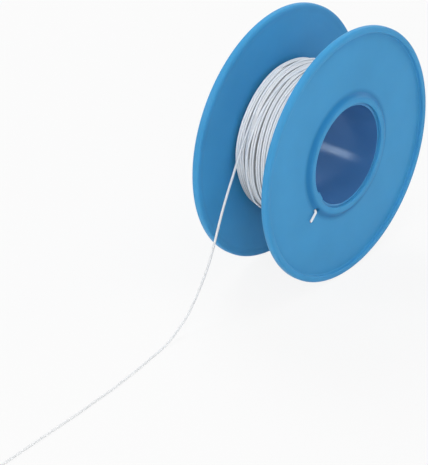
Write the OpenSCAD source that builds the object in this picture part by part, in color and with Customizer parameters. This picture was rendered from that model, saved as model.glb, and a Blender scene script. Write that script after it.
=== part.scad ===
// Reel of insulated hook-up wire. Two like flanges are pressed on the spigots of a
// hub tube, the wire is wound between them, its first end is folded out through a
// hole in the front flange, and its free end runs down and lies on the table.
// Millimetres. The origin is the middle of the bore. The reel turns about Y, its
// front looks towards -Y, and it stands on its two rims.

/* [Reel] */
// Diameter of the two flanges
flange_d = 64; // [56:1:80]
// Width of the reel, over the front and rear rims
reel_w = 22.6; // [20:0.2:30]
// Diameter of the bore through the hub
bore_d = 24.8; // [20:0.2:25.6]

/* [Flange] */
// Thickness of the web of a flange
web_t = 0.9; // [0.7:0.1:1.4]
// Radial width of the bead round the rim
rim_w = 1.6; // [1.2:0.1:2.4]
// How far the bead stands in front of the web
rim_proud = 0.95; // [0.7:0.05:1.4]
// How far the bead stands behind the web
rim_back = 0.1; // [0.05:0.05:0.3]
// Rounding of the bead's outer edges
rim_round = 0.6; // [0.2:0.05:0.7]
// Rounding of the bead's inner edge
crest_round = 0.3; // [0.1:0.05:0.4]
// Fillet between the web and the bead
foot_round = 0.35; // [0.1:0.05:0.6]
// Radial width of the flat of the collar round the mouth
collar_w = 1.3; // [1:0.1:2]
// Radial width of the rounded shoulder that falls from the collar's flat
shoulder_w = 1.5; // [1:0.1:2.4]
// Radial width of the low sweep that the shoulder runs out in
sweep_w = 4.6; // [3:0.2:6]
// Height of the low sweep, as part of the height of the collar
sweep_h = 0.15; // [0.05:0.05:0.4]
// Bevel at the edge of the mouth
mouth_bevel = 0.15; // [0.05:0.05:0.3]

/* [Hub] */
// Wall of the hub tube between the flanges
barrel_wall = 2.25; // [1.6:0.05:3]
// Wall of the spigot at each end of the hub tube
spigot_wall = 0.65; // [0.5:0.05:1]
// How far the end of a spigot stays below the collar
spigot_short = 0.65; // [0.4:0.05:1]
// Radial clearance between a spigot and its flange
spigot_fit = 0.02; // [0.01:0.01:0.05]

/* [Locating lug] */
// Width of the round lug in the mouth that holds the spigot in
lug_w = 3.7; // [2.5:0.1:5]
// How far the centre of the lug lies outside the mouth
lug_out = 0.8; // [0.5:0.1:1.2]
// Clock angle of the lug, anticlockwise from +X
lug_clock = 211; // [200:1:215]
// How far the lug's flat stays outside the bore
lug_clear = 0.03; // [0.02:0.01:0.2]

/* [Wire] */
// Outside diameter of the insulated wire
wire_d = 0.6; // [0.5:0.05:0.7]
// Diameter of the bare conductor inside it
conductor_d = 0.3; // [0.2:0.05:0.4]
// Length of conductor that shows past the insulation at a cut end
conductor_end = 0.15; // [0.1:0.05:1]

/* [Wire hole] */
// Diameter of the hole for the first end of the wire
hole_d = 1.6; // [1.2:0.1:2]
// Width left between the hole and the collar's flat
hole_wall = 0.45; // [0.2:0.05:0.8]
// Clock angle of the hole, anticlockwise from +X
hole_clock = 221.5; // [218:0.5:230]
// Radius of the bend where the first end is folded over, at the wire's centre
tail_bend = 0.9; // [0.6:0.05:1]
// Straight length of the first end past its bend
tail_reach = 2.2; // [1.5:0.1:4]
// Height of the folded end above the outer edge of its hole
tail_lift = 0.2; // [0.1:0.01:0.3]
// Gap between the first end and the side of the hole that it leans towards
tail_play = 0.1; // [0.05:0.05:0.3]

/* [Winding] */
// Depth of the wound wire on the hub tube, with the top layer of turns
wound_depth = 4.55; // [3.6:0.05:6]
// Least gap that is left between neighbouring turns
turn_gap = 0.45; // [0.42:0.01:0.6]
// Gap between the last turn beside a flange and that flange
side_gap = 0.1; // [0.05:0.05:0.4]
// How deep the lower layer of turns presses into the winding under it
turn_bite = 0.1; // [0.05:0.05:0.2]
// Clearance between the wound wire and the reel that holds it
wound_fit = 0.02; // [0.01:0.01:0.1]

/* [Hidden] */
$fn = 96;

reel_blue = [0.26, 0.55, 0.75];
hub_blue = [0.22, 0.46, 0.66];
wire_white = [0.92, 0.93, 0.94];
copper = [0.78, 0.50, 0.36];

rim_r = flange_d / 2;
rim_inner_r = rim_r - rim_w;
bore_r = bore_d / 2;
spigot_r = bore_r + spigot_wall;
mouth_r = spigot_r + spigot_fit;
collar_r = mouth_r + collar_w;
barrel_r = bore_r + barrel_wall;
wire_r = wire_d / 2;

// Distances along the axis from the middle of the reel
face_at = reel_w / 2;
front_t = web_t + rim_proud;
web_at = face_at - front_t;
spigot_at = face_at - spigot_short;

// Centre of the hole for the first end, as a radius
hole_at = collar_r + hole_wall + hole_d / 2;

// Steps that the shoulder and the sweep are drawn in
shoulder_steps = 10;
sweep_steps = 3;

// How far a cut runs past the surface that it opens
cut_over = 1;

// Winding: a full layer from the front flange to the rear one, then the turns
// of a new layer on top of it, which come back as far as the free wire leaves
loop_rings = 24;
turn_sides = 6;
top_r = barrel_r + wound_depth - wire_r;
layer_step = wire_d + turn_gap;
full_r = top_r - layer_step;
rear_turn_at = web_at - side_gap - wire_r;
full_turns = floor(2 * rear_turn_at / layer_step);
turn_pitch = 2 * rear_turn_at / full_turns;
climb_turns = 0.25;

// The free wire, from where it leaves the winding to its cut end on the table
table_at = -rim_r;
route_steps = 3;
route_sides = 8;
route = [
    [-15.7, 5.5, 11.8], [-18.7, 5.3, 7.8], [-21.6, 5, 3.9], [-24.3, 4.6, 0],
    [-26.7, 4.4, -3.9], [-29, 4.2, -7.9], [-31, 4, -11.9], [-33, 3.7, -15.7],
    [-35.1, 3.4, -19.1], [-37.9, 3, -22.5], [-41.3, 2.5, -25.7], [-45.4, 1.9, -28.7],
    [-50.4, 1.3, -30.8], [-56, 0.3, -31.7], [-61.5, -0.5, -31.7], [-67, -1.3, -31.7],
    [-72.5, -1.9, -31.7], [-78, -2.5, -31.7], [-84, -2.8, -31.7], [-90, -3.2, -31.7],
    [-96, -3.4, -31.7], [-102, -3.6, -31.7], [-108, -3.8, -31.7], [-114, -4, -31.7],
    [-120, -4.3, -31.7], [-126, -4.7, -31.7], [-132, -5.2, -31.7]
];

leave_clock = atan2(route[0][2], route[0][0]);
top_turns = climb_turns + (rear_turn_at - route[0][1]) / turn_pitch;
wound_turns = full_turns + top_turns;
wound_rings = round(wound_turns * loop_rings);

// ---- shapes that several pieces share ----

function unit(v) = v / norm(v);

// Smooth step from 0 to 1
function ease(x) = let (c = min(max(x, 0), 1)) c * c * (3 - 2 * c);

// Length along points, as far as the last one named
function length_to(points, last) =
    last == 0 ? 0 : norm(points[last] - points[last - 1]) + length_to(points, last - 1);

// Rectangle between two corners
module between(low, high) {
    translate(low) square(high - low);
}

// Turns a piece built round +Z so that +Z looks out of the reel's front
module to_front() {
    rotate([90, 0, 0]) children();
}

// Places a piece at a clock angle and a radius on the front flange, with X outwards
// from the axis and Z from the back of the web out of the front
module on_front(clock, radius) {
    to_front() translate([0, 0, web_at]) rotate([0, 0, clock]) translate([radius, 0, 0]) children();
}

// Triangles that join rings of points into one closed tube
function tube_faces(rings, sides) = concat(
    [for (j = [1 : sides - 2]) [0, j, j + 1]],
    [
        for (i = [0 : rings - 2], j = [0 : sides - 1], half = [0, 1])
            let (
                a = i * sides + j,
                b = i * sides + (j + 1) % sides
            )
                half == 0 ? [a, a + sides, b] : [b, a + sides, b + sides]
    ],
    [for (j = [1 : sides - 2]) let (last = (rings - 1) * sides) [last, last + j + 1, last + j]]
);

// ---- flanges ----

// The sections below show the radius, and the distance out from the back of the web

// Bead round the rim, with rounded edges and a fillet down to the web
module bead_section() {
    between([rim_inner_r, -rim_back], [rim_r - rim_round, front_t - crest_round]);
    between([rim_inner_r + crest_round, -rim_back], [rim_r - rim_round, front_t]);
    between([rim_inner_r, rim_round - rim_back], [rim_r, front_t - rim_round]);
    translate([rim_r - rim_round, rim_round - rim_back]) circle(rim_round);
    translate([rim_r - rim_round, front_t - rim_round]) circle(rim_round);
    translate([rim_inner_r + crest_round, front_t - crest_round]) circle(crest_round);
    difference() {
        between([rim_inner_r - foot_round, web_t], [rim_inner_r, web_t + foot_round]);
        translate([rim_inner_r - foot_round, web_t + foot_round]) circle(foot_round);
    }
}

// Height over the web of the collar's shoulder and of the low sweep outside it
function rise(radius) =
    let (out = radius - collar_r)
        sweep_h * pow(max(1 - out / sweep_w, 0), 2)
            + (rim_proud - sweep_h) * (1 - ease(out / shoulder_w));

// Collar round the mouth, with a bevel inside it, a shoulder outside it and the sweep
module collar_section() {
    polygon(concat(
        [
            [mouth_r, 0], [mouth_r, front_t - mouth_bevel], [mouth_r + mouth_bevel, front_t]
        ],
        [for (i = [0 : shoulder_steps]) let (r = collar_r + shoulder_w * i / shoulder_steps)
            [r, web_t + rise(r)]],
        [for (i = [1 : sweep_steps])
            let (r = collar_r + shoulder_w + (sweep_w - shoulder_w) * i / sweep_steps)
                [r, web_t + rise(r)]],
        [[collar_r + sweep_w, 0]]
    ));
}

module flange_section() {
    between([mouth_r + mouth_bevel, 0], [rim_r - rim_round, web_t]);
    collar_section();
    bead_section();
}

// Round lug that hangs into the mouth in front of the spigot
module lug() {
    lug_r = lug_w / 2;
    lug_back = front_t - spigot_short + spigot_fit;
    lug_front = front_t - mouth_bevel;
    lug_inner_r = bore_r + lug_clear;
    translate([0, 0, lug_back]) linear_extrude(lug_front - lug_back) intersection() {
        difference() {
            circle(mouth_r + lug_out);
            circle(lug_inner_r);
        }
        rotate(lug_clock) translate([mouth_r + lug_out, 0]) circle(lug_r);
    }
}

// One flange: the front one and the rear one come from the same mould
module flange() {
    translate([0, 0, web_at]) difference() {
        union() {
            rotate_extrude() flange_section();
            lug();
        }
        rotate([0, 0, hole_clock]) translate([hole_at, 0, -cut_over])
            cylinder(h = front_t + 2 * cut_over, d = hole_d);
    }
}

module front_flange() {
    color(reel_blue) to_front() flange();
}

module rear_flange() {
    color(reel_blue) rotate([0, 0, 180]) to_front() flange();
}

// ---- hub ----

// Tube that carries the winding, with a thinner spigot through each flange
module hub_tube() {
    color(hub_blue) to_front() rotate_extrude() polygon([
        [bore_r, -spigot_at], [spigot_r, -spigot_at], [spigot_r, -web_at], [barrel_r, -web_at],
        [barrel_r, web_at], [spigot_r, web_at], [spigot_r, spigot_at], [bore_r, spigot_at]
    ]);
}

// ---- winding ----

// The lower layers, as one plain ring of wound wire
module inner_winding() {
    inner_r = barrel_r + wound_fit;
    outer_r = full_r - wire_r + turn_bite;
    half_w = web_at - wound_fit;
    color(wire_white) to_front() rotate_extrude()
        translate([inner_r, -half_w]) square([outer_r - inner_r, 2 * half_w]);
}

// Radius and place along Y of the wound wire after a number of turns
function wound_radius(turns) = full_r + layer_step * ease((turns - full_turns) / climb_turns);
function wound_y(turns) =
    turns < full_turns ? turns * turn_pitch - rear_turn_at :
    rear_turn_at - turn_pitch * max(turns - full_turns - climb_turns, 0);

// Clock angle after a number of turns: the last turn ends where the free wire leaves
function wound_clock(turns) = leave_clock + 360 * (turns - wound_turns);

function wound_point(turns) =
    let (k = wound_clock(turns), r = wound_radius(turns))
        [r * cos(k), wound_y(turns), r * sin(k)];

wound_points = [for (i = [0 : wound_rings]) wound_point(wound_turns * i / wound_rings)];

// Least gap of the tube to itself, between points at least three quarters of a turn apart
least_gap = min([
    for (i = [0 : wound_rings], j = [i + round(0.75 * loop_rings) : 1 : wound_rings])
        norm(wound_points[i] - wound_points[j])
]) - wire_d;
echo(str("least gap between the turns: ", least_gap, " mm"));

// One ring of corners in the plane through the reel's axis
function turn_ring(point) =
    let (out = unit([point[0], 0, point[2]]))
        [for (j = [0 : turn_sides - 1])
            let (a = 360 * j / turn_sides)
                point + wire_r * (cos(a) * out + sin(a) * [0, 1, 0])];

// A ring for a straight end, moved along the wire by one diameter
function end_ring(turns, way) =
    let (k = wound_clock(turns), along = way * wire_d * [-sin(k), 0, cos(k)])
        [for (corner = turn_ring(wound_point(turns))) corner + along];

module outer_turns() {
    rings = concat(
        [end_ring(0, -1)],
        [for (point = wound_points) turn_ring(point)],
        [end_ring(wound_turns, 1)]
    );
    color(wire_white) polyhedron(
        points = [for (ring = rings) each ring],
        faces = tube_faces(len(rings), turn_sides)
    );
}

// ---- first end of the wire, out through the hole and folded over ----

// Height of the folded end's centre, to the nearest hundredth
tail_height = round(100 * (web_t + rise(hole_at + hole_d / 2) + tail_lift + wire_r)) / 100;
tail_aside = hole_d / 2 - wire_r - tail_play;

// Places a piece in the hole, as far to its clockwise side as the first end lies
module in_hole() {
    on_front(hole_clock, hole_at) translate([0, -tail_aside, 0]) children();
}

module start_tail() {
    color(wire_white) in_hole() {
        cylinder(h = tail_height - tail_bend, d = wire_d);
        translate([tail_bend, 0, tail_height - tail_bend]) rotate([90, 0, 0]) rotate([0, 0, 90])
            rotate_extrude(angle = 90) translate([tail_bend, 0]) circle(d = wire_d);
        translate([tail_bend, 0, tail_height]) rotate([0, 90, 0])
            cylinder(h = tail_reach, d = wire_d);
    }
}

module start_tail_conductor() {
    color(copper) in_hole() translate([tail_bend + tail_reach, 0, tail_height])
        rotate([0, 90, 0]) cylinder(h = conductor_end, d = conductor_d);
}

// ---- free wire ----

// A point between four neighbours of the route, on a smooth curve through them,
// no lower than a wire that lies on the table
function route_between(a, b, c, d, t) =
    let (p = 0.5 * (2 * b + (c - a) * t + (2 * a - 5 * b + 4 * c - d) * t * t
                    + (3 * b - a - 3 * c + d) * t * t * t))
        [p[0], p[1], max(p[2], table_at + wire_r)];

route_last = len(route) - 1;
route_points = concat(
    [
        for (i = [0 : route_last - 1], step = [0 : route_steps - 1])
            let (
                before = i == 0 ? 2 * route[0] - route[1] : route[i - 1],
                after = i == route_last - 1 ? 2 * route[i + 1] - route[i] : route[i + 2]
            )
                route_between(before, route[i], route[i + 1], after, step / route_steps)
    ],
    [route[route_last]]
);

// Direction of the free wire at a point of its route
function route_way(i) =
    unit(route_points[min(i + 1, len(route_points) - 1)] - route_points[max(i - 1, 0)]);

// One ring of corners square to the free wire
function route_ring(i) =
    let (
        way = route_way(i),
        side = unit(cross(way, [0, 1, 0])),
        up = cross(side, way)
    )
        [for (j = [0 : route_sides - 1])
            let (a = 360 * (j + 0.5) / route_sides)
                route_points[i] + wire_r * (cos(a) * side + sin(a) * up)];

free_length = length_to(route_points, len(route_points) - 1);
echo(str("length of the free wire: ", free_length, " mm"));

module free_wire() {
    count = len(route_points);
    color(wire_white) polyhedron(
        points = [for (i = [0 : count - 1]) each route_ring(i)],
        faces = tube_faces(count, route_sides)
    );
}

module free_wire_conductor() {
    way = route_way(len(route_points) - 1);
    turn = atan2(way[1], way[0]);
    color(copper) translate(route[route_last]) rotate([0, 90, turn])
        cylinder(h = conductor_end, d = conductor_d);
}

front_flange();
rear_flange();
hub_tube();
inner_winding();
outer_turns();
start_tail();
start_tail_conductor();
free_wire();
free_wire_conductor();
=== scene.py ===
"""Reel of thin insulated hook-up wire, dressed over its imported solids.

Lengths are in metres unless a name ends in _mm or a class says that it counts in
millimetres. The origin is the middle of the bore, the reel turns about Y, its front
looks towards -Y, and it stands on its rims. A clock angle is measured in degrees
anticlockwise from +X, as seen from the front.
"""

from __future__ import annotations

import logging
import math
from dataclasses import dataclass
from enum import Enum
from typing import Iterable, Sequence

import bmesh
import bpy
from mathutils import Matrix, Vector


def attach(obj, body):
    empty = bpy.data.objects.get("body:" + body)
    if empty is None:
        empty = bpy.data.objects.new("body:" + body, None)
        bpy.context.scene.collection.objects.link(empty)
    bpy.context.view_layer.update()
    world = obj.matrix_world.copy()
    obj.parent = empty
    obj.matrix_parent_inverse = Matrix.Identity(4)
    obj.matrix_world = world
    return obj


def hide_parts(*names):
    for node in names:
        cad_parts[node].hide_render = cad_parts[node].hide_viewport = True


log = logging.getLogger("wire_reel")

MM = 0.001
TABLE_Z_MM = -32.0
PLASTIC_CREASE = 28.0
WIRE_CREASE = 40.0
WINDING_CREASE = 60.0

Point2 = tuple[float, float]
Colour = tuple[float, float, float]
Thing = bpy.types.Object
Material = bpy.types.Material
Socket = bpy.types.NodeSocket


class Body(Enum):
    """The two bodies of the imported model."""

    REEL = "reel"
    WIRE_END = "wire_end"


class Slot(Enum):
    """The record's material slots."""

    REEL_PLASTIC = "reel_plastic"
    HUB_PLASTIC = "hub_plastic"
    INSULATION = "wire_insulation"
    CONDUCTOR = "conductor"


# ---------------------------------------------------------------- node helpers


class NodeSheet:
    """A node tree, with short ways to add and join nodes."""

    def __init__(self, tree: bpy.types.NodeTree) -> None:
        """Keeps the tree that the nodes go into."""
        self.tree = tree

    def add(self, kind: str, **settings: object) -> bpy.types.Node:
        """Adds a node.

        Args:
            kind: The node's class name.
            **settings: Attributes to set on the node.

        Returns:
            The new node.
        """
        node = self.tree.nodes.new(kind)
        for key, value in settings.items():
            setattr(node, key, value)
        return node

    def join(self, source: Socket, target: Socket) -> None:
        """Links an output to an input."""
        self.tree.links.new(source, target)

    def sum(self, operation: str, first: object, second: object = None) -> Socket:
        """Arithmetic on sockets or numbers.

        Args:
            operation: The Math node's operation.
            first: A socket or a number.
            second: A socket or a number, where the operation has two.

        Returns:
            The result's socket.
        """
        node = self.add("ShaderNodeMath", operation=operation)
        for i, value in enumerate((first, second)):
            if isinstance(value, Socket):
                self.join(value, node.inputs[i])
            elif value is not None:
                node.inputs[i].default_value = value
        return node.outputs[0]

    def ramp(self, value: Socket, low: float, high: float, to_low: float = 0.0,
             to_high: float = 1.0) -> Socket:
        """Maps a value from one range to another, and stays inside it.

        Args:
            value: The value.
            low: Start of the range that comes in.
            high: End of the range that comes in.
            to_low: What low becomes.
            to_high: What high becomes.

        Returns:
            The result's socket.
        """
        node = self.add("ShaderNodeMapRange")
        node.inputs["From Min"].default_value = low
        node.inputs["From Max"].default_value = high
        node.inputs["To Min"].default_value = to_low
        node.inputs["To Max"].default_value = to_high
        self.join(value, node.inputs["Value"])
        return node.outputs["Result"]

    def rays(self, *kinds: str) -> Socket:
        """A value that is 1 for some kinds of ray and 0 for all others.

        Args:
            *kinds: Names of the Light Path node's outputs.

        Returns:
            The value's socket.
        """
        path = self.add("ShaderNodeLightPath")
        seen = path.outputs[kinds[0]]
        for kind in kinds[1:]:
            seen = self.sum("MAXIMUM", seen, path.outputs[kind])
        return seen


class ShaderSheet(NodeSheet):
    """A material's node tree round a Principled shader."""

    def __init__(self, name: str) -> None:
        """Starts an empty material with an output and the shader.

        Args:
            name: The material's name.
        """
        self.material = bpy.data.materials.new(name)
        self.material.use_nodes = True
        super().__init__(self.material.node_tree)
        self.tree.nodes.clear()
        self.output = self.add("ShaderNodeOutputMaterial")
        self.shader = self.add("ShaderNodeBsdfPrincipled")
        self.join(self.shader.outputs["BSDF"], self.output.inputs["Surface"])

    def stretched(self, where: Socket, *stretch: float) -> Socket:
        """Coordinates, stretched along the three axes.

        Args:
            where: The coordinates.
            *stretch: The factor for each axis.

        Returns:
            The new coordinates.
        """
        mapping = self.add("ShaderNodeMapping")
        mapping.inputs["Scale"].default_value = stretch
        self.join(where, mapping.inputs["Vector"])
        return mapping.outputs["Vector"]

    def place(self, *stretch: float) -> Socket:
        """Object coordinates, stretched along the three axes."""
        return self.stretched(self.add("ShaderNodeTexCoord").outputs["Object"], *stretch)

    def distance(self, *axes: float) -> Socket:
        """Distance from the origin in Object coordinates.

        Args:
            *axes: 1 for each axis that it is counted along, 0 for each other one.

        Returns:
            The distance.
        """
        length = self.add("ShaderNodeVectorMath", operation="LENGTH")
        self.join(self.place(*axes), length.inputs[0])
        return length.outputs["Value"]

    def noise(self, where: Socket, scale: float, detail: float, seed: float) -> Socket:
        """A noise texture with a fixed seed.

        Args:
            where: Its coordinates.
            scale: Cells per metre.
            detail: Octaves of detail.
            seed: Its fourth coordinate.

        Returns:
            Its value, about 0.5 on average.
        """
        node = self.add("ShaderNodeTexNoise", noise_dimensions="4D")
        node.inputs["Scale"].default_value = scale
        node.inputs["Detail"].default_value = detail
        node.inputs["W"].default_value = seed
        self.join(where, node.inputs["Vector"])
        return node.outputs["Fac"]

    def blend(self, share: Socket, first: Socket | Colour, second: Socket | Colour,
              how: str = "MIX") -> Socket:
        """Blends two colours.

        Args:
            share: The share of the second colour.
            first: A colour's socket, or linear RGB.
            second: The same for the second colour.
            how: The Mix node's blending mode.

        Returns:
            The blended colour.
        """
        node = self.add("ShaderNodeMix", data_type="RGBA", blend_type=how)
        self.join(share, node.inputs[0])
        for target, colour in ((node.inputs[6], first), (node.inputs[7], second)):
            if isinstance(colour, Socket):
                self.join(colour, target)
            else:
                target.default_value = (*colour, 1.0)
        return node.outputs[2]

    def bump(self, height: Socket, depth: float, after: Socket | None = None) -> Socket:
        """A bump of a real depth.

        Args:
            height: The height, from 0 to 1.
            depth: The depth of the whole range.
            after: A bump that this one adds to.

        Returns:
            The bumped normal.
        """
        node = self.add("ShaderNodeBump")
        node.inputs["Strength"].default_value = 1.0
        node.inputs["Distance"].default_value = depth
        self.join(height, node.inputs["Height"])
        if after is not None:
            self.join(after, node.inputs["Normal"])
        return node.outputs["Normal"]

    def settle(self, **values: object) -> None:
        """Sets inputs of the shader.

        Args:
            **values: Their values, named in small letters with _ for each blank.
        """
        inputs = {socket.name.lower().replace(" ", "_"): socket for socket in self.shader.inputs}
        for name, value in values.items():
            inputs[name].default_value = value

    def finish(self, tint: Socket, rough: Socket, skin: Socket, **values: object) -> Material:
        """Joins a finish to the shader.

        Args:
            tint: Its colour.
            rough: Its roughness.
            skin: Its bumped normal.
            **values: The shader's other inputs, as settle takes them.

        Returns:
            The finished material.
        """
        for name, source in (("Base Color", tint), ("Roughness", rough), ("Normal", skin)):
            self.join(source, self.shader.inputs[name])
        self.settle(**values)
        return self.material


@dataclass(frozen=True)
class PaintedShadeRing:
    """Ring round the reel's axis where a surface's colour is darkened, as painted shade.

    Args:
        tone: What the colour is multiplied by where the ring is full.
        edges_mm: Pairs of distances from the axis, where it ends and where it is full.
    """

    tone: Colour
    edges_mm: tuple[Point2, ...]

    def over(self, sheet: ShaderSheet, tint: Socket) -> Socket:
        """Lays the ring of painted shade over a colour.

        Args:
            sheet: The material's nodes.
            tint: The plain colour.

        Returns:
            The darkened colour.
        """
        radius = sheet.distance(1, 0, 1)
        ramps = [sheet.ramp(radius, clear * MM, full * MM) for clear, full in self.edges_mm]
        whole = ramps[0]
        for ramp in ramps[1:]:
            whole = sheet.sum("MULTIPLY", whole, ramp)
        return sheet.blend(whole, tint, self.tone, "MULTIPLY")


def scaled(colour: Colour, factor: float) -> Colour:
    """A colour made lighter or darker by a factor."""
    return (colour[0] * factor, colour[1] * factor, colour[2] * factor)


# ---------------------------------------------------------------- finishes


@dataclass(frozen=True)
class MouldedPlastic:
    """Glossy injection-moulded polystyrene, faintly clouded and scuffed.

    Args:
        name: The material's name.
        colour: Linear RGB of the plastic's main colour.
        roughness: Its typical roughness.
        shine: Its specular level.
        glint: Tint of its reflections seen face on.
        cloud: How far the colour drifts over the part, as a share.
        ripple_mm: Depth of the slow ripple that the mould leaves.
        grain_mm: Depth of the fine grain on the surface.
        drag_mm: Depth of the marks that a core leaves along Y when it is drawn out.
        painted_shade: Painted shade in a ring round the axis, if anywhere.
        end_colour: Linear RGB of the ends that face along Y, if they differ; on the hub it lifts
            the bore's painted shade where the ends face the light.
        end_mm: How far along Y they are fully so.
        end_soft_mm: Over what length their colour sets in.
    """

    name: str
    colour: Colour
    roughness: float
    shine: float = 0.2
    glint: Colour = (1.0, 1.0, 1.0)
    cloud: float = 0.05
    ripple_mm: float = 0.004
    grain_mm: float = 0.0006
    drag_mm: float = 0.0
    painted_shade: PaintedShadeRing | None = None
    end_colour: Colour | None = None
    end_mm: float = 10.6
    end_soft_mm: float = 0.05

    def make(self) -> Material:
        """Builds the material.

        Returns:
            The material.
        """
        sheet = ShaderSheet(self.name)
        here = sheet.place(1, 1, 1)
        cloud = sheet.noise(here, scale=70.0, detail=3.0, seed=1.7)
        tint = sheet.blend(sheet.ramp(cloud, 0.3, 0.7), scaled(self.colour, 1 - self.cloud),
                           scaled(self.colour, 1 + self.cloud))
        if self.painted_shade:
            tint = self.painted_shade.over(sheet, tint)
        if self.end_colour:
            ends = sheet.ramp(sheet.distance(0, 1, 0), (self.end_mm - self.end_soft_mm) * MM,
                              self.end_mm * MM)
            tint = sheet.blend(ends, tint, self.end_colour)
        handled = sheet.noise(here, scale=240.0, detail=4.0, seed=8.3)
        rough = sheet.ramp(handled, 0.35, 0.75, self.roughness * 0.85, self.roughness * 1.3)
        ripple = sheet.noise(here, scale=130.0, detail=1.0, seed=2.9)
        grain = sheet.noise(here, scale=5200.0, detail=2.0, seed=4.1)
        skin = sheet.bump(grain, self.grain_mm * MM, sheet.bump(ripple, self.ripple_mm * MM))
        if self.drag_mm:
            marks = sheet.noise(sheet.place(1, 0.03, 1), scale=1400.0, detail=2.0, seed=5.2)
            skin = sheet.bump(marks, self.drag_mm * MM, skin)
        return sheet.finish(
            tint, rough, skin, ior=1.5, specular_ior_level=self.shine,
            specular_tint=(*self.glint, 1.0), subsurface_weight=0.15,
            subsurface_radius=(0.15, 0.5, 1.0), subsurface_scale=0.7 * MM)


@dataclass(frozen=True)
class ExtrudedInsulation:
    """White PVC insulation with fine draw lines along the wire.

    Args:
        name: The material's name.
        colour: Linear RGB of the PVC's main colour.
        roughness: Its typical roughness.
        line_mm: Depth of the draw lines.
        painted_shade: Painted shade deep between the turns, if anywhere.
    """

    name: str
    colour: Colour
    roughness: float = 0.36
    line_mm: float = 0.002
    painted_shade: PaintedShadeRing | None = None

    def make(self) -> Material:
        """Builds the material, whose lines follow the wire's own UV map.

        Returns:
            The material.
        """
        sheet = ShaderSheet(self.name)
        along = sheet.add("ShaderNodeUVMap", uv_map="UVMap").outputs["UV"]
        lines = sheet.noise(sheet.stretched(along, 9, 160, 1), scale=1.0, detail=2.0, seed=3.3)
        handled = sheet.noise(sheet.place(1, 1, 1), scale=900.0, detail=3.0, seed=6.1)
        tint = sheet.blend(sheet.ramp(handled, 0.35, 0.75), self.colour,
                           scaled(self.colour, 0.97))
        if self.painted_shade:
            tint = self.painted_shade.over(sheet, tint)
        rough = sheet.ramp(handled, 0.3, 0.7, self.roughness * 0.85, self.roughness * 1.2)
        return sheet.finish(
            tint, rough, sheet.bump(lines, self.line_mm * MM), ior=1.53, subsurface_weight=0.06,
            subsurface_radius=(1.0, 1.0, 1.0), subsurface_scale=0.25 * MM)


@dataclass(frozen=True)
class DrawnCopper:
    """Bare drawn copper with a cut end.

    Args:
        name: The material's name.
        colour: Linear RGB of the metal.
        roughness: Its typical roughness.
        scratch_mm: Depth of its fine scratches.
    """

    name: str
    colour: Colour
    roughness: float = 0.3
    scratch_mm: float = 0.002

    def make(self) -> Material:
        """Builds the material.

        Returns:
            The material.
        """
        sheet = ShaderSheet(self.name)
        scratch = sheet.noise(sheet.place(1, 1, 1), scale=14000.0, detail=2.0, seed=5.5)
        tint = sheet.blend(sheet.ramp(scratch, 0.3, 0.7), scaled(self.colour, 0.8), self.colour)
        rough = sheet.ramp(scratch, 0.3, 0.7, self.roughness * 0.8, self.roughness * 1.4)
        return sheet.finish(tint, rough, sheet.bump(scratch, self.scratch_mm * MM), metallic=1.0)


@dataclass(frozen=True)
class PaleTable:
    """Plain pale table that keeps a faint shadow.

    Args:
        name: The material's name.
        brightness: How bright it shows, where 1 is white.
        shadow: The share of it that takes light and shadow.
    """

    name: str
    brightness: float = 0.955
    shadow: float = 0.08

    def make(self) -> Material:
        """Builds the material.

        Returns:
            The material.
        """
        sheet = ShaderSheet(self.name)
        sheet.settle(base_color=(0.9, 0.9, 0.9, 1.0), roughness=1.0, specular_ior_level=0.0)
        glow = sheet.add("ShaderNodeEmission")
        glow.inputs["Color"].default_value = (*[self.brightness] * 3, 1.0)
        seen = sheet.rays("Is Camera Ray", "Is Glossy Ray", "Is Transmission Ray")
        mix = sheet.add("ShaderNodeMixShader")
        sheet.join(sheet.sum("MULTIPLY", seen, 1.0 - self.shadow), mix.inputs[0])
        sheet.join(sheet.shader.outputs["BSDF"], mix.inputs[1])
        sheet.join(glow.outputs["Emission"], mix.inputs[2])
        sheet.join(mix.outputs["Shader"], sheet.output.inputs["Surface"])
        return sheet.material


# ---------------------------------------------------------------- mesh helpers


def ease(value: float) -> float:
    """A smooth step from 0 to 1."""
    share = min(max(value, 0.0), 1.0)
    return share * share * (3 - 2 * share)


def step_up(value: float, start: float, width: float) -> float:
    """A smooth step from 0 at a start to 1 after a width."""
    return ease((value - start) / width)


def step_down(value: float, start: float, width: float) -> float:
    """A smooth step from 1 at a start to 0 after a width."""
    return 1 - step_up(value, start, width)


def arc(centre: Point2, radius: float, start: float, end: float, steps: int) -> list[Point2]:
    """Points of an arc, both ends included.

    Args:
        centre: Its centre.
        radius: Its radius.
        start: The angle it starts at, in degrees.
        end: The angle it ends at, in degrees.
        steps: How many chords it has.

    Returns:
        The points in order.
    """
    angles = [math.radians(start + (end - start) * i / steps) for i in range(steps + 1)]
    return [(centre[0] + radius * math.cos(a), centre[1] + radius * math.sin(a)) for a in angles]


def in_metres(points: Iterable[Point2]) -> list[Point2]:
    """Flat points in metres, from millimetres."""
    return [(a * MM, b * MM) for a, b in points]


def lathe(section: Sequence[Point2], segments: int) -> bmesh.types.BMesh:
    """Turns a closed section round the reel's axis.

    Args:
        section: Its corners in order, as radius and place along Y.
        segments: How many steps make the whole turn.

    Returns:
        The closed solid.
    """
    solid = bmesh.new()
    rings = []
    for i in range(segments):
        turn = 2 * math.pi * i / segments
        x, z = math.cos(turn), math.sin(turn)
        rings.append([solid.verts.new((r * x, y, r * z)) for r, y in section])
    count = len(section)
    for i in range(segments):
        here, there = rings[i], rings[(i + 1) % segments]
        for j in range(count):
            k = (j + 1) % count
            solid.faces.new((here[j], here[k], there[k], there[j]))
    bmesh.ops.recalc_face_normals(solid, faces=solid.faces)
    return solid


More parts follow.
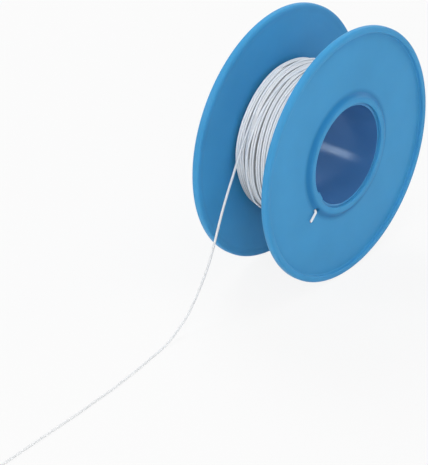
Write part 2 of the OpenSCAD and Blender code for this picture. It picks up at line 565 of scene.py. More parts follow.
def prism(outline: Sequence[Point2], y_low: float, y_high: float) -> bmesh.types.BMesh:
    """Extrudes a flat outline along Y.

    Args:
        outline: Its corners in order, as X and Z.
        y_low: Where it starts.
        y_high: Where it ends.

    Returns:
        The closed solid.
    """
    solid = bmesh.new()
    low = [solid.verts.new((x, y_low, z)) for x, z in outline]
    high = [solid.verts.new((x, y_high, z)) for x, z in outline]
    solid.faces.new(low)
    solid.faces.new(high)
    for i in range(len(outline)):
        j = (i + 1) % len(outline)
        solid.faces.new((low[i], low[j], high[j], high[i]))
    bmesh.ops.recalc_face_normals(solid, faces=solid.faces)
    return solid


def as_object(name: str, solid: bmesh.types.BMesh) -> Thing:
    """Puts a bmesh in a new object at the origin and frees it.

    Args:
        name: The object's name.
        solid: The bmesh.

    Returns:
        The new object.
    """
    mesh = bpy.data.meshes.new(name)
    solid.to_mesh(mesh)
    solid.free()
    thing = bpy.data.objects.new(name, mesh)
    bpy.context.scene.collection.objects.link(thing)
    return thing


def drop(thing: Thing) -> None:
    """Removes an object and its mesh.

    Args:
        thing: The object.
    """
    mesh = thing.data
    bpy.data.objects.remove(thing)
    bpy.data.meshes.remove(mesh)


def gather(name: str, pieces: Iterable[Thing]) -> Thing:
    """Joins the meshes of several objects in one new object and removes them.

    Args:
        name: The new object's name.
        pieces: The objects, unturned and at the origin.

    Returns:
        The new object.
    """
    whole = bmesh.new()
    for piece in pieces:
        whole.from_mesh(piece.data)
        drop(piece)
    return as_object(name, whole)


def plain(thing: Thing) -> Thing:
    """Turns an object with modifiers into one plain mesh.

    Args:
        thing: The object, whose modifiers are removed.

    Returns:
        The same object with the finished mesh.
    """
    evaluated = thing.evaluated_get(bpy.context.evaluated_depsgraph_get())
    mesh = bpy.data.meshes.new_from_object(evaluated)
    thing.modifiers.clear()
    old = thing.data
    thing.data = mesh
    mesh.name = thing.name
    bpy.data.meshes.remove(old)
    return thing


def carve(body: Thing, tool: Thing, operation: str) -> None:
    """Joins a tool to a body or cuts it out, and removes the tool.

    Args:
        body: The object that is changed, which ends with a plain mesh.
        tool: The object that is joined on or cut out.
        operation: UNION or DIFFERENCE.
    """
    step = body.modifiers.new("carve", "BOOLEAN")
    step.operation = operation
    step.solver = "EXACT"
    step.object = tool
    plain(body)
    drop(tool)


def smooth(thing: Thing, crease: float) -> None:
    """Shades an object smooth, with edges above an angle in degrees kept sharp."""
    thing.data.shade_smooth()
    thing.data.set_sharp_from_angle(angle=math.radians(crease))


def dress(thing: Thing, material: Material, body: Body, node: str) -> None:
    """Gives a piece its finish, its body and the CAD node it stands for.

    Args:
        thing: The piece.
        material: Its finish.
        body: The body it rides on.
        node: The CAD node that it replaces.
    """
    thing.data.materials.clear()
    thing.data.materials.append(material)
    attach(thing, body.value)
    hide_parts(node)
    faces = sum(len(polygon.vertices) - 2 for polygon in thing.data.polygons)
    log.info("%s: %d triangles, rides on %s", thing.name, faces, body.value)


# ---------------------------------------------------------------- lines and wires


def line_mesh(points: Sequence[Vector]) -> bpy.types.Mesh:
    """A mesh of points joined one after the other.

    Args:
        points: The points in metres.

    Returns:
        The mesh, without faces.
    """
    mesh = bpy.data.meshes.new("line")
    mesh.from_pydata([tuple(p) for p in points], [(i, i + 1) for i in range(len(points) - 1)], [])
    return mesh


def through(points: Sequence[Sequence[float]], steps: int) -> list[Vector]:
    """A smooth line through points.

    Args:
        points: The points, of any dimension up to three.
        steps: How many pieces lie between two of them.

    Returns:
        The finer line, with both end points.
    """
    knots = [Vector(p) for p in points]
    knots = [2 * knots[0] - knots[1], *knots, 2 * knots[-1] - knots[-2]]
    line = []
    for i in range(1, len(knots) - 2):
        a, b, c, d = knots[i - 1:i + 3]
        for j in range(steps):
            t = j / steps
            line.append(0.5 * (2 * b + (c - a) * t + (2 * a - 5 * b + 4 * c - d) * t * t
                               + (3 * b - a - 3 * c + d) * t * t * t))
    line.append(knots[-2])
    return line


class FormTree(NodeSheet):
    """A Geometry Nodes tree with named inputs."""

    def __init__(self, name: str) -> None:
        """Starts a tree with a geometry input and output.

        Args:
            name: The tree's name.
        """
        super().__init__(bpy.data.node_groups.new(name, "GeometryNodeTree"))
        face = self.tree.interface
        face.new_socket("Geometry", in_out="OUTPUT", socket_type="NodeSocketGeometry")
        face.new_socket("Geometry", in_out="INPUT", socket_type="NodeSocketGeometry")
        self.source = self.add("NodeGroupInput")
        self.sink = self.add("NodeGroupOutput")
        self.keys: dict[str, str] = {}

    def ask(self, name: str, kind: str, default: object = None) -> None:
        """Adds a named input.

        Args:
            name: The input's name.
            kind: Float, Int or Material.
            default: Its default, where it has one.
        """
        socket = self.tree.interface.new_socket(
            name, in_out="INPUT", socket_type=f"NodeSocket{kind}")
        if default is not None:
            socket.default_value = default
        self.keys[name] = socket.identifier

    def vector(self, *parts: Socket) -> Socket:
        """A vector of up to three parts.

        Args:
            *parts: Its X, Y and Z, or the first two of them.

        Returns:
            The vector's socket.
        """
        node = self.add("ShaderNodeCombineXYZ")
        for part, target in zip(parts, node.inputs):
            self.join(part, target)
        return node.outputs["Vector"]

    def captured(self, name: str, geometry: Socket, value: Socket) -> tuple[Socket, Socket]:
        """Keeps a value on a curve before it is made a mesh.

        Args:
            name: The value's name.
            geometry: The curve.
            value: The value.

        Returns:
            The curve with the value on it, and the kept value.
        """
        node = self.add("GeometryNodeCaptureAttribute")
        node.capture_items.new("FLOAT", name)
        self.join(geometry, node.inputs["Geometry"])
        self.join(value, node.inputs[1])
        return node.outputs["Geometry"], node.outputs[1]

    def sweep(self, line: Socket) -> None:
        """Ends the tree: sweeps the wire's round section along a line, with a UV map.

        Args:
            line: The curve that the wire follows.
        """
        inputs = self.source.outputs
        ring = self.add("GeometryNodeCurvePrimitiveCircle", mode="RADIUS")
        self.join(inputs["Sides"], ring.inputs["Resolution"])
        self.join(self.sum("MULTIPLY", inputs["Wire diameter"], 0.5), ring.inputs["Radius"])
        place = self.add("GeometryNodeSplineParameter").outputs
        profile, around = self.captured("Around", ring.outputs["Curve"], place["Factor"])
        way, along = self.captured("Along", line, place["Length"])
        tube = self.add("GeometryNodeCurveToMesh")
        tube.inputs["Fill Caps"].default_value = True
        self.join(way, tube.inputs["Curve"])
        self.join(profile, tube.inputs["Profile Curve"])
        store = self.add("GeometryNodeStoreNamedAttribute", data_type="FLOAT2", domain="CORNER")
        store.inputs["Name"].default_value = "UVMap"
        self.join(tube.outputs["Mesh"], store.inputs["Geometry"])
        self.join(self.vector(around, along), store.inputs["Value"])
        real = self.add("GeometryNodeRealizeInstances")
        self.join(store.outputs["Geometry"], real.inputs["Geometry"])
        finish = self.add("GeometryNodeSetMaterial")
        self.join(real.outputs["Geometry"], finish.inputs["Geometry"])
        self.join(inputs["Material"], finish.inputs["Material"])
        self.join(finish.outputs["Geometry"], self.sink.inputs["Geometry"])

    def grow(self, name: str, host: bpy.types.Mesh, values: dict[str, object]) -> Thing:
        """Runs the tree on a mesh and keeps the result as a plain mesh.

        Args:
            name: The new object's name.
            host: The mesh that goes into the tree.
            values: A value for each named input.

        Returns:
            The finished object.
        """
        thing = bpy.data.objects.new(name, host)
        bpy.context.scene.collection.objects.link(thing)
        step = thing.modifiers.new("form", "NODES")
        step.node_group = self.tree
        for key, value in values.items():
            step[self.keys[key]] = value
        return plain(thing)


def wire_tree() -> FormTree:
    """Tree that sweeps a wire along the line of points that its host mesh gives.

    Returns:
        The tree.
    """
    tree = FormTree("Wire along a line")
    tree.ask("Wire diameter", "Float", 0.6 * MM)
    tree.ask("Sides", "Int", 12)
    tree.ask("Material", "Material")
    line = tree.add("GeometryNodeMeshToCurve")
    tree.join(tree.source.outputs["Geometry"], line.inputs["Mesh"])
    tree.sweep(line.outputs["Curve"])
    return tree


def layer_tree() -> FormTree:
    """Tree that winds one layer of wire: a helix about Y with a slight wander.

    Returns:
        The tree.
    """
    tree = FormTree("Layer of turns")
    for name, default in (("First Y", -9.1 * MM), ("Last Y", 9.1 * MM), ("Layer radius", 18 * MM),
                          ("Turns", 30.0), ("First clock", 0.0), ("Wander", 0.05 * MM),
                          ("Seed", 1.0), ("Wire diameter", 0.6 * MM)):
        tree.ask(name, "Float", default)
    tree.ask("Points", "Int", 2000)
    tree.ask("Sides", "Int", 8)
    tree.ask("Material", "Material")
    inputs = tree.source.outputs
    radius = inputs["Layer radius"]
    line = tree.add("GeometryNodeMeshLine")
    tree.join(inputs["Points"], line.inputs["Count"])
    index = tree.add("GeometryNodeInputIndex").outputs["Index"]
    share = tree.sum("DIVIDE", index, tree.sum("SUBTRACT", inputs["Points"], 1.0))
    turned = tree.sum("MULTIPLY", tree.sum("MULTIPLY", share, inputs["Turns"]), 2 * math.pi)
    clock = tree.sum("ADD", turned, tree.sum("RADIANS", inputs["First clock"]))
    span = tree.sum("SUBTRACT", inputs["Last Y"], inputs["First Y"])
    along = tree.sum("ADD", inputs["First Y"], tree.sum("MULTIPLY", share, span))
    noise = tree.add("ShaderNodeTexNoise", noise_dimensions="2D")
    noise.inputs["Scale"].default_value = 1.0
    noise.inputs["Detail"].default_value = 1.0
    where = tree.vector(tree.sum("MULTIPLY", turned, 0.6), inputs["Seed"])
    tree.join(where, noise.inputs["Vector"])
    drift = tree.sum("MULTIPLY", tree.sum("SUBTRACT", noise.outputs["Fac"], 0.5),
                     tree.sum("MULTIPLY", inputs["Wander"], 2.0))
    point = tree.vector(tree.sum("MULTIPLY", radius, tree.sum("COSINE", clock)),
                        tree.sum("ADD", along, drift),
                        tree.sum("MULTIPLY", radius, tree.sum("SINE", clock)))
    put = tree.add("GeometryNodeSetPosition")
    tree.join(line.outputs["Mesh"], put.inputs["Geometry"])
    tree.join(point, put.inputs["Position"])
    curve = tree.add("GeometryNodeMeshToCurve")
    tree.join(put.outputs["Geometry"], curve.inputs["Mesh"])
    tree.sweep(curve.outputs["Curve"])
    return tree


@dataclass(frozen=True)
class WireSizes:
    """Sizes of the hook-up wire in millimetres.

    Args:
        insulation_d: Its outer diameter.
        conductor_d: Its conductor's diameter.
        conductor_end: How far the conductor stands out of a cut end.
        conductor_root: How far the conductor's piece reaches into the insulation.
    """

    insulation_d: float = 0.6
    conductor_d: float = 0.3
    conductor_end: float = 0.15
    conductor_root: float = 0.2


@dataclass(frozen=True)
class Strand:
    """What a length of wire or bare conductor is made of.

    Args:
        form: The tree that sweeps it along a line.
        diameter_mm: Its diameter.
        sides: How many sides its section has.
        material: Its finish.
        slot: The record's slot of that finish; not used.
    """

    form: FormTree
    diameter_mm: float
    sides: int
    material: Material
    slot: Slot

    def run(self, name: str, points: Sequence[Vector]) -> Thing:
        """Sweeps it along a line of points.

        Args:
            name: The new object's name.
            points: The points in metres.

        Returns:
            The new object.
        """
        return self.form.grow(name, line_mesh(points), {
            "Wire diameter": self.diameter_mm * MM, "Sides": self.sides,
            "Material": self.material})

    def lay(self, name: str, points: Sequence[Vector], body: Body, node: str) -> Thing:
        """Sweeps it along a line of points and dresses it.

        Args:
            name: The new object's name.
            points: The points in metres.
            body: The body it rides on.
            node: The CAD node that it replaces.

        Returns:
            The finished piece.
        """
        thing = self.run(name, points)
        dress(thing, self.material, body, node)
        smooth(thing, WIRE_CREASE)
        return thing


# ---------------------------------------------------------------- the reel


@dataclass
class ReelBody:
    """Two like flanges, pressed on the spigots of a hub tube. Sizes in millimetres."""

    plastic: MouldedPlastic
    hub_plastic: MouldedPlastic
    rim_r: float = 32.0
    rim_w: float = 1.6
    rim_back: float = 0.1
    back_w: float = 0.6
    rim_round: float = 0.6
    crest_round: float = 0.3
    foot_round: float = 0.35
    web_t: float = 0.9
    front_t: float = 1.85
    web_at: float = 9.45
    mouth_r: float = 13.07
    mouth_round: float = 0.2
    collar_w: float = 1.3
    shoulder_w: float = 1.5
    sweep_w: float = 4.6
    sweep_h: float = 0.15
    bore_r: float = 12.4
    spigot_r: float = 13.05
    spigot_at: float = 10.65
    spigot_chamfer: float = 0.08
    barrel_r: float = 14.65
    lug_r: float = 1.85
    lug_out: float = 0.8
    lug_clock: float = 211.0
    lug_clear: float = 0.03
    lug_sunk: float = 0.05
    lug_round: float = 0.12
    lug_gap: float = 0.02
    hole_r: float = 0.8
    hole_at: float = 15.62
    hole_clock: float = 221.5
    hole_from: float = -13.0
    hole_to: float = -8.0
    hole_sides: int = 48
    segments: int = 288
    corner_steps: int = 7

    def rise(self, radius: float) -> float:
        """Height over the web of the collar's shoulder and of the long sweep outside it.

        Args:
            radius: Where it is asked for, outside the collar's flat.

        Returns:
            The height.
        """
        out = radius - self.mouth_r - self.collar_w
        shoulder = self.front_t - self.web_t - self.sweep_h
        sweep = self.sweep_h * max(1 - out / self.sweep_w, 0.0) ** 2
        return sweep + shoulder * (1 - ease(out / self.shoulder_w))

    def flange_section(self) -> list[Point2]:
        """Section of a flange.

        Returns:
            Its corners, as radius and distance out from the back of its web.
        """
        steps = self.corner_steps
        inner = self.rim_r - self.rim_w
        collar = self.mouth_r + self.collar_w
        sweep_end = collar + self.sweep_w
        near = 0.12
        points: list[Point2] = [(self.mouth_r, 0.0), (self.mouth_r + near, 0.0)]
        points += [(collar + share * (inner - collar), 0.0) for share in (0.0, 0.25, 0.5, 0.75)]
        points += [(inner + self.back_w * (i / 10 - 1), -self.rim_back * ease(i / 20))
                   for i in range(1, 17)]
        for x, y, rounding, start in (
                (self.rim_r - self.rim_round, self.rim_round - self.rim_back, self.rim_round, -90),
                (self.rim_r - self.rim_round, self.front_t - self.rim_round, self.rim_round, 0),
                (inner + self.crest_round, self.front_t - self.crest_round, self.crest_round, 90)):
            points += arc((x, y), rounding, start, start + 90, steps)
        points += arc((inner - self.foot_round, self.web_t + self.foot_round),
                      self.foot_round, 0, -90, steps)
        points.append((inner - self.foot_round - near, self.web_t))
        points += [(sweep_end + share * (inner - self.foot_round - sweep_end), self.web_t)
                   for share in (0.75, 0.5, 0.25, 0.02)]
        down = [self.sweep_w * share for share in (1.0, 0.85, 0.7, 0.55, 0.45)]
        down += [self.shoulder_w * (1 - i / 16) for i in range(17)]
        points += [(collar + out, self.web_t + self.rise(collar + out)) for out in down]
        points += arc((self.mouth_r + self.mouth_round, self.front_t - self.mouth_round),
                      self.mouth_round, 90, 180, steps)
        return points

    def lug_outline(self) -> list[Point2]:
        """Outline of the round lug in the mouth.

        Returns:
            Its corners, as X and Z at clock angle 0.
        """
        centre = self.mouth_r + self.lug_out
        inside = self.bore_r + self.lug_clear
        cut = (centre ** 2 + inside ** 2 - self.lug_r ** 2) / (2 * centre * inside)
        spread = math.degrees(math.acos(cut))
        corner_x = inside * math.cos(math.radians(spread)) - centre
        corner_z = inside * math.sin(math.radians(spread))
        lean = math.degrees(math.atan2(corner_z, corner_x))
        outline = arc((0.0, 0.0), inside, -spread, spread, 10)
        outline += arc((centre, 0.0), self.lug_r, lean, 80.0, 10)[1:]
        outline += arc((centre, 0.0), self.lug_r, -80.0, -lean, 10)[:-1]
        return outline

    def flange(self, name: str) -> Thing:
        """Builds the front flange, with its lug and wire hole.

        Args:
            name: The object's name.

        Returns:
            The object, with its outside towards -Y.
        """
        section = [(r * MM, -(self.web_at + out) * MM) for r, out in self.flange_section()]
        body = as_object(name, lathe(section, self.segments))
        back = self.spigot_at + self.lug_gap
        front = self.web_at + self.front_t - self.lug_sunk
        lug = prism(in_metres(self.lug_outline()), -front * MM, -back * MM)
        edges = [e for e in lug.edges if all(v.co.y < -(front - 0.01) * MM for v in e.verts)]
        bmesh.ops.bevel(lug, geom=edges, offset=self.lug_round * MM, segments=3, affect="EDGES")
        lug.transform(Matrix.Rotation(math.radians(-self.lug_clock), 4, "Y"))
        carve(body, as_object("lug", lug), "UNION")
        sides = self.hole_sides
        round_hole = arc((self.hole_at, 0), self.hole_r, 0, 360 - 360 / sides, sides - 1)
        hole = prism(in_metres(round_hole), self.hole_from * MM, self.hole_to * MM)
        hole.transform(Matrix.Rotation(math.radians(-self.hole_clock), 4, "Y"))
        carve(body, as_object("hole", hole), "DIFFERENCE")
        smooth(body, PLASTIC_CREASE)
        return body

    def hub(self) -> Thing:
        """Builds the hub tube with its two spigots.

        Returns:
            The object.
        """
        chamfer = self.spigot_chamfer
        half = [
            (self.barrel_r, 0.0), (self.barrel_r, self.web_at), (self.spigot_r, self.web_at),
            (self.spigot_r, self.spigot_at - chamfer), (self.spigot_r - chamfer, self.spigot_at),
            (self.bore_r + chamfer, self.spigot_at), (self.bore_r, self.spigot_at - chamfer),
            (self.bore_r, 7.0), (self.bore_r, 3.5), (self.bore_r, 0.0),
        ]
        section = half + [(r, -y) for r, y in reversed(half[1:-1])]
        body = as_object("hub", lathe(in_metres(section), self.segments))
        smooth(body, PLASTIC_CREASE)
        return body

    def build(self) -> None:
        """Builds and dresses the two flanges and the hub."""
        plastic = self.plastic.make()
        front = self.flange("flange_front")
        rear = bpy.data.objects.new("flange_rear", front.data.copy())
        bpy.context.scene.collection.objects.link(rear)
        rear.data.transform(Matrix.Rotation(math.pi, 4, "Z"))
        dress(front, plastic, Body.REEL, "front_flange")
        dress(rear, plastic, Body.REEL, "rear_flange")
        dress(self.hub(), self.hub_plastic.make(), Body.REEL, "hub_tube")


# ---------------------------------------------------------------- the wire


@dataclass(frozen=True)
class Layer:
    """One plain layer of turns below the top one. Sizes in millimetres."""

    radius: float
    first_y: float
    last_y: float
    first_clock: float
    pitch: float = 0.605


@dataclass
class Winding:
    """The wound wire: a core, plain layers, and the top turns that end in the free wire.

    Sizes in millimetres. The top turns are given where they pass clock angle 150, and
    the last turns as clock angle and place along Y.
    """

    wire: WireSizes
    insulation: Material
    core_r: float = 16.5
    core_segments: int = 96
    inner_r: float = 14.67
    edge_y: float = 9.1
    layers: tuple[Layer, ...] = (
        Layer(16.65, -9.1, 9.1, 40.0),
        Layer(17.18, 9.05, -9.1, 170.0),
        Layer(17.72, -9.1, 8.6, 300.0),
    )
    layer_sides: int = 8
    turn_points: int = 72
    wander: float = 0.06
    under_r: float = 18.28
    top_r: float = 18.85
    top_sides: int = 12
    cross_r: float = 19.37
    leave_r: float = 19.64
    leave_from: float = 105.0
    leave_clock: float = 143.07
    top_y: tuple[float, ...] = (
        8.1, 7.53, 6.96, 5.95, 5.38, 4.82, 3.85, 3.26, 2.39, 1.81, 0.9, 0.32, -0.34, -0.94, -1.55,
        -2.15, -2.75, -3.35, -3.95, -4.55, -5.2, -5.8, -6.45, -7.05, -7.75, -8.4, -9.05,
    )
    last_turns: tuple[Point2, ...] = (
        (-570, -9.05), (-545, -8.75), (-480, -6.7), (-420, -4.4), (-360, -1.8), (-300, 0.8),
        (-275, 1.8), (-255, 2.75), (-240, 3.25), (-220, 3.85), (-203, 4.35), (-188, 4.75),
        (-170, 5.1), (-155, 5.45), (-130, 5.85), (-60, 6.0), (0, 5.6), (60, 5.25), (85, 5.28),
        (100, 5.52), (113, 5.72), (130, 5.66), (143.07, 5.5),
    )
    last_steps: int = 12
    step: float = 5.0
    rear_shift: float = 0.42
    front_shift: float = 0.5
    crowd_shift: float = 0.38
    sink: float = 0.45
    dip: float = 1.1

    def at(self, clock: float, radius: float, y: float) -> Vector:
        """A point in metres at a clock angle, a radius and a place along Y."""
        turn = math.radians(clock)
        return Vector((radius * math.cos(turn), y, radius * math.sin(turn))) * MM

    def strayed(self, clock: float, radius: float, y: float) -> Vector:
        """A point of a turn, moved as the turns stray and sink round the reel.

        Args:
            clock: Its clock angle.
            radius: Its radius where the turns are full.
            y: Its place along Y where the turns are straight.

        Returns:
            The point in metres.
        """
        place = clock % 360
        low, high = step_up(y, 3.6, 1.0), step_up(y, -3.0, 3.0)
        above = high * step_down(place, 80, 28) * step_down(place, 168, 30)
        below = (low + (high - low) * step_up(place, 250, 60)) * step_up(place, 168, 30)
        rear = above + below
        middle = step_up(y, 5.5, 0.3) * step_down(y, 6.1, 0.6)
        crowd = middle * step_up(place, 150, 25) * step_down(place, 250, 60)
        front = step_down(y, 1.6, 2.0) * step_up(y, -7.5, 5.0)
        late = step_up(place, 125, 60) * step_down(place, 220, 90)
        sunk = step_up(y, 3.0, 3.0) * step_up(place, 175, 35) * step_down(place, 235, 60)
        third = step_up(y, 6.7, 0.15) * step_down(y, 7.1, 0.15)
        sunk += self.dip * third * step_up(place, 0, 40) * step_down(place, 90, 16)
        moved = (y - self.rear_shift * rear - self.front_shift * front * late
                 + self.crowd_shift * crowd)
        return self.at(clock, radius - self.sink * sunk, moved)

    def layer_point(self, turn: float, places: Sequence[float], radius: float) -> Vector:
        """Point of a layer of turns after a number of turns from its first pass of 150.

        Args:
            turn: How far along the layer the point is.
            places: Where its turns pass clock angle 150, along Y.
            radius: The layer's radius.

        Returns:
            The point in metres.
        """
        whole = min(max(math.floor(turn), 0), len(places) - 2)
        share = min(max(turn - whole, -1.0), 1.0)
        now, then = places[whole], places[whole + 1]
        shift = 0.25 * share + 0.75 * step_up(share, 0.2, 0.6)
        drift = 0.04 * math.sin(5.1 * turn + 0.7) + 0.03 * math.sin(11.3 * turn + 2.1)
        swell = 0.03 * math.sin(7.7 * turn) + 0.02 * math.sin(17.9 * turn + 1.0)
        return self.strayed(150 + 360 * turn, radius + swell, now + (then - now) * shift + drift)

    def last_points(self) -> list[Vector]:
        """Points of the last turns, which cross the top layer and end at the free wire.

        Returns:
            The points in metres.
        """
        points = []
        cross_from = self.last_turns[0][0]
        leaving = self.leave_clock - self.leave_from
        for knot in through([(k, y, 0) for k, y in self.last_turns], self.last_steps):
            clock, y = knot.x, knot.y
            radius = self.top_r + (self.cross_r - self.top_r) * step_up(clock, cross_from, 30)
            lift = ease((clock - self.leave_from) / leaving * 0.5) * 2
            radius += (self.leave_r - self.cross_r) * lift
            point = self.strayed if clock < 0 else self.at
            points.append(point(clock, radius, y))
        return points

    def top_line(self) -> list[Vector]:
        """The whole line of the upper wire: one layer to the rear, one back, and the last turns.

        Returns:
            Its points in metres.
        """
        turns = len(self.top_y) - 1
        count = round(turns * 360 / self.step)
        rising = list(reversed(self.top_y))
        line = [self.layer_point(turns * i / count, rising, self.under_r) for i in range(count)]
        climb = round(360 / self.step)
        for i in range(climb):
            share = i / climb
            radius = self.under_r + (self.top_r - self.under_r) * step_up(share, 0.1, 0.2)
            line.append(self.strayed(150 + 360 * share, radius, self.top_y[0]))
        line += [self.layer_point(turns * i / count, self.top_y, self.top_r) for i in range(count)]
        return line + self.last_points()

    def core(self) -> Thing:
        """The innermost layers, as one solid ring.

        Returns:
            The object.
        """
        half = self.edge_y + self.wire.insulation_d / 2
        ring = [(self.inner_r, -half), (self.core_r, -half), (self.core_r, half),
                (self.inner_r, half)]
        return as_object("core", lathe(in_metres(ring), self.core_segments))

    def build(self, layer_form: FormTree, wire_form: FormTree) -> None:
        """Winds and dresses the layers.

        Args:
            layer_form: The tree that winds a plain layer.
            wire_form: The tree that sweeps the wire along a line.
        """
        pieces = [self.core()]
        for number, layer in enumerate(self.layers):
            turns = abs(layer.last_y - layer.first_y) / layer.pitch
            pieces.append(layer_form.grow(f"layer_{number}", bpy.data.meshes.new("seed"), {
                "First Y": layer.first_y * MM, "Last Y": layer.last_y * MM,
                "Layer radius": layer.radius * MM, "Turns": turns,
                "First clock": layer.first_clock, "Wander": self.wander * MM,
                "Seed": 3.7 * number, "Wire diameter": self.wire.insulation_d * MM,
                "Points": round(turns * self.turn_points), "Sides": self.layer_sides,
                "Material": self.insulation,
            }))
        strand = Strand(wire_form, self.wire.insulation_d, self.top_sides, self.insulation,
                        Slot.INSULATION)
        under = gather("winding_layers", pieces[:-1])
        outer = gather("winding_top", [pieces[-1], strand.run("top_turns", self.top_line())])
        for piece, node in ((under, "inner_winding"), (outer, "outer_turns")):
            dress(piece, self.insulation, Body.REEL, node)
            smooth(piece, WINDING_CREASE)


@dataclass
class FoldedEnd:
    """First end of the wire, out of its hole in the front flange and folded outwards.

    Sizes in millimetres.
    """

    wire: WireSizes
    insulation: Material
    copper: Material
    reel: ReelBody
    bend: float = 0.9
    reach: float = 2.2
    lift: float = 0.2
    play: float = 0.1
    sides: int = 24
    core_sides: int = 16

    def height(self) -> float:
        """Height of the folded end's centre above the back of the web.

        Returns:
            The height, to 0.01.
        """
        reel = self.reel
        edge = reel.rise(reel.hole_at + reel.hole_r)
        return round(reel.web_t + edge + self.lift + self.wire.insulation_d / 2, 2)

    def place(self, out: float, up: float) -> Vector:
        """A point in metres beside the hole.

        Args:
            out: Distance outwards from the hole's centre.
            up: Distance out of the front, from the back of the web.

        Returns:
            The point in the reel's frame.
        """
        turn = math.radians(self.reel.hole_clock)
        aside = -(self.reel.hole_r - self.wire.insulation_d / 2 - self.play)
        x = (self.reel.hole_at + out) * math.cos(turn) - aside * math.sin(turn)
        z = (self.reel.hole_at + out) * math.sin(turn) + aside * math.cos(turn)
        return Vector((x, -(self.reel.web_at + up), z)) * MM

    def build(self, wire_form: FormTree) -> None:
        """Builds and dresses the folded end and its conductor.

        Args:
            wire_form: The tree that sweeps the wire along a line.
        """
        wire, height = self.wire, self.height()
        corner = arc((self.bend, height - self.bend), self.bend, 180, 90, 12)
        end = self.bend + self.reach
        flat = [(0.0, 0.0), (0.0, 0.3), *corner, (end * 0.6, height), (end, height)]
        points = [self.place(out, up) for out, up in flat]
        tail = Strand(wire_form, wire.insulation_d, self.sides, self.insulation, Slot.INSULATION)
        tail.lay("folded_end", points, Body.REEL, "start_tail")
        tip = [self.place(end - wire.conductor_root, height),
               self.place(end + wire.conductor_end, height)]
        core = Strand(wire_form, wire.conductor_d, self.core_sides, self.copper, Slot.CONDUCTOR)
        core.lay("folded_end_conductor", tip, Body.REEL, "start_tail_conductor")


@dataclass
class FreeWire:
    """The wire from where it leaves the winding to its cut end. Sizes in millimetres."""

    wire: WireSizes
    insulation: Material
    copper: Material
    route: tuple[tuple[float, float, float], ...] = (
        (-15.7, 5.5, 11.8), (-18.7, 5.3, 7.8), (-21.6, 5, 3.9), (-24.3, 4.6, 0),
        (-26.7, 4.4, -3.9), (-29, 4.2, -7.9), (-31, 4, -11.9), (-33, 3.7, -15.7),
        (-35.1, 3.4, -19.1), (-37.9, 3, -22.5), (-41.3, 2.5, -25.7), (-45.4, 1.9, -28.7),
        (-50.4, 1.3, -30.8), (-56, 0.3, -31.7), (-61.5, -0.5, -31.7), (-67, -1.3, -31.7),
        (-72.5, -1.9, -31.7), (-78, -2.5, -31.7), (-84, -2.8, -31.7), (-90, -3.2, -31.7),
        (-96, -3.4, -31.7), (-102, -3.6, -31.7), (-108, -3.8, -31.7), (-114, -4, -31.7),
        (-120, -4.3, -31.7), (-126, -4.7, -31.7), (-132, -5.2, -31.7),
    )
    steps: int = 9
    sides: int = 16

    def line(self) -> list[Vector]:
        """The wire's centre line, nowhere lower than it can lie on the table.

        Returns:
            Its points in metres.
        """
        lowest = TABLE_Z_MM + self.wire.insulation_d / 2
        points = through(self.route, self.steps)
        return [Vector((p.x, p.y, max(p.z, lowest))) * MM for p in points]

    def build(self, wire_form: FormTree) -> None:
        """Args:
            wire_form: The tree that sweeps the wire along a line.
        """
        sizes, line = self.wire, self.line()
        outside = Strand(wire_form, sizes.insulation_d, self.sides, self.insulation,
                         Slot.INSULATION)
        wire = outside.lay("loose_wire", line, Body.WIRE_END, "free_wire")
        way = (line[-1] - line[-2]).normalized()
        tip = [line[-1] - way * sizes.conductor_root * MM,
               line[-1] + way * sizes.conductor_end * MM]
        inside = Strand(wire_form, sizes.conductor_d, self.sides, self.copper, Slot.CONDUCTOR)
        core = inside.lay("loose_wire_conductor", tip, Body.WIRE_END, "free_wire_conductor")


# ---------------------------------------------------------------- the studio


@dataclass(frozen=True)
class Lamp:
    """A square area lamp that points at the reel and that the camera doesn't see.

    Args:
        name: Its name.
        towards: The direction from the reel to it.
        distance: How far away it stands.
        size: The length of its side.
        power: Its power in watts.
        shows: Whether glossy surfaces reflect it.
    """

    name: str
    towards: tuple[float, float, float]
    distance: float
    size: float
    power: float
    shows: bool = True

    def hang(self) -> None:
        """Adds the lamp to the scene."""
        light = bpy.data.lights.new(self.name, "AREA")
        light.shape = "SQUARE"
        light.size = self.size
        light.energy = self.power
        thing = bpy.data.objects.new(self.name, light)
        bpy.context.scene.collection.objects.link(thing)
        towards = Vector(self.towards)
        thing.location = towards.normalized() * self.distance
        thing.rotation_euler = towards.to_track_quat("Z", "Y").to_euler()
        thing.visible_camera = False
        thing.visible_glossy = self.shows


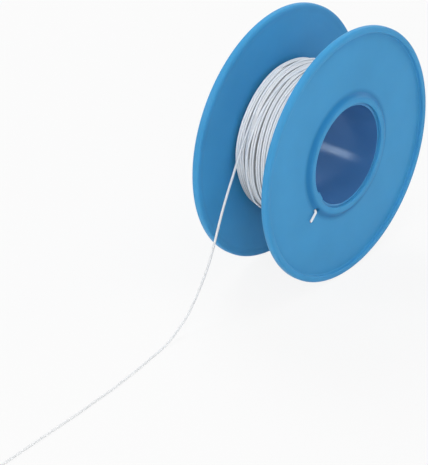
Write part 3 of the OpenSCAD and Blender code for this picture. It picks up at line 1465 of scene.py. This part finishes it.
@dataclass
class Studio:
    """The camera, the table and the light."""

    azimuth: float = 51.27
    elevation: float = 28.61
    distance: float = 0.7718
    focal_px: float = 3200.0
    image: tuple[int, int] = (428, 465)
    centre_px: tuple[float, float] = (311.3, 142.31)
    sensor_mm: float = 36.0
    table: PaleTable = PaleTable("pale_table")
    table_half: float = 4.0
    plain_light: float = 0.3
    backdrop: float = 0.965
    lamps: tuple[Lamp, ...] = (
        Lamp("key", (0.85, -0.45, 0.02), 1.8, 1.0, 8.4),
        Lamp("low front", (0.6, -0.75, 0.02), 1.8, 1.0, 3.0),
        Lamp("top", (0.1, -0.35, 1.0), 0.6, 0.33, 1.05),
        Lamp("left", (-0.7, -0.3, 0.65), 0.6, 0.33, 0.55),
        Lamp("front", (-0.68, -0.55, 0.48), 0.6, 0.33, 1.0),
        Lamp("behind", (-0.70, 0.55, 0.45), 0.9, 0.2, 1.5),
        Lamp("rear", (0.35, 0.55, 0.6), 0.9, 0.5, 4.8, False),
    )

    def place_camera(self) -> None:
        """Sets up the camera so that the bore's centre falls where it should."""
        turn, tip = math.radians(self.azimuth), math.radians(self.elevation)
        right = Vector((math.cos(turn), -math.sin(turn), 0))
        level = math.cos(tip)
        back = Vector((-math.sin(turn) * level, -math.cos(turn) * level, math.sin(tip)))
        up = back.cross(right)
        across = (self.centre_px[0] - self.image[0] / 2) / self.focal_px * self.distance
        down = (self.centre_px[1] - self.image[1] / 2) / self.focal_px * self.distance
        lens = bpy.data.cameras.new("camera")
        lens.sensor_width = self.sensor_mm
        lens.lens = self.focal_px * self.sensor_mm / max(self.image)
        lens.clip_start = 0.01
        camera = bpy.data.objects.new("camera", lens)
        bpy.context.scene.collection.objects.link(camera)
        where = Matrix.Translation(back * self.distance - right * across + up * down)
        camera.matrix_world = where @ Matrix((right, up, back)).transposed().to_4x4()
        bpy.context.scene.camera = camera

    def lay_table(self) -> None:
        """Lays the pale table under the reel."""
        sheet = bmesh.new()
        bmesh.ops.create_grid(sheet, x_segments=1, y_segments=1, size=self.table_half)
        sheet.transform(Matrix.Translation((0, 0, TABLE_Z_MM * MM)))
        floor = as_object("table", sheet)
        floor.data.materials.append(self.table.make())

    def light(self) -> None:
        """Sets the world's plain light and hangs the lamps."""
        world = bpy.data.worlds.new("studio")
        bpy.context.scene.world = world
        world.use_nodes = True
        sheet = NodeSheet(world.node_tree)
        sheet.tree.nodes.clear()
        out = sheet.add("ShaderNodeOutputWorld")
        glow = sheet.add("ShaderNodeBackground")
        glow.inputs["Color"].default_value = (1.0, 1.0, 1.0, 1.0)
        seen = sheet.rays("Is Camera Ray", "Is Glossy Ray")
        strength = sheet.ramp(seen, 0.0, 1.0, self.plain_light, self.backdrop)
        sheet.join(strength, glow.inputs["Strength"])
        sheet.join(glow.outputs["Background"], out.inputs["Surface"])
        for lamp in self.lamps:
            lamp.hang()

    def build(self) -> None:
        """Sets up the whole studio."""
        self.place_camera()
        self.lay_table()
        self.light()
        bpy.context.scene.view_settings.view_transform = "Standard"


def main() -> None:
    """Builds the reel, its wire and the studio."""
    logging.basicConfig(level=logging.INFO, format="%(name)s: %(message)s")
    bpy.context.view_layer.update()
    Studio().build()
    sizes = WireSizes()
    # The free wire's white is a darker copy of the winding's white, as painted shade.
    insulation = ExtrudedInsulation("white_insulation", (0.71, 0.72, 0.73)).make()
    # The winding's white, with painted shade deep between the turns.
    wound = ExtrudedInsulation("wound_insulation", (0.86, 0.865, 0.87),
                               painted_shade=PaintedShadeRing((0.45, 0.45, 0.45), ((19.08, 18.5),))).make()
    copper = DrawnCopper("bare_copper", (0.80, 0.42, 0.27)).make()
    wire_form = wire_tree()
    FreeWire(sizes, insulation, copper).build(wire_form)
    reel = ReelBody(
        MouldedPlastic("blue_polystyrene", (0.054, 0.284, 0.545), 0.34, 0.08,
                       # Painted shade in a ring round the foot of the collar.
                       painted_shade=PaintedShadeRing((0.45, 0.67, 0.77), ((14.0, 15.15), (16.7, 15.55)))),
        # The hub's blue is a darker copy of the flanges' blue, as painted shade inside the bore;
        # its ends, which face out, get a lighter blue.
        MouldedPlastic("blue_hub_polystyrene", (0.05, 0.152, 0.35), 0.18, 0.25, (0.66, 0.82, 1.0),
                       ripple_mm=0.002, drag_mm=0.012, end_colour=(0.05, 0.25, 0.5)),
    )
    reel.build()
    Winding(sizes, wound).build(layer_tree(), wire_form)
    # The folded end's white, without the painted shade of the free wire's copy.
    unshaded = ExtrudedInsulation("clean_insulation", (0.83, 0.835, 0.84)).make()
    FoldedEnd(sizes, unshaded, copper, reel).build(wire_form)


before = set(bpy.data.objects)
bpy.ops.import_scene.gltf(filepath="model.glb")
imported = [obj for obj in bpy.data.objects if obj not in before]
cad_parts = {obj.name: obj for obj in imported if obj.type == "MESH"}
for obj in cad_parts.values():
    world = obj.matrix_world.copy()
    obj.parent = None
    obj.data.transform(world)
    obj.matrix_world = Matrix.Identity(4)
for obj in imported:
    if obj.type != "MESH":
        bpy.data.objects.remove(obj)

if __name__ == "__main__":
    main()
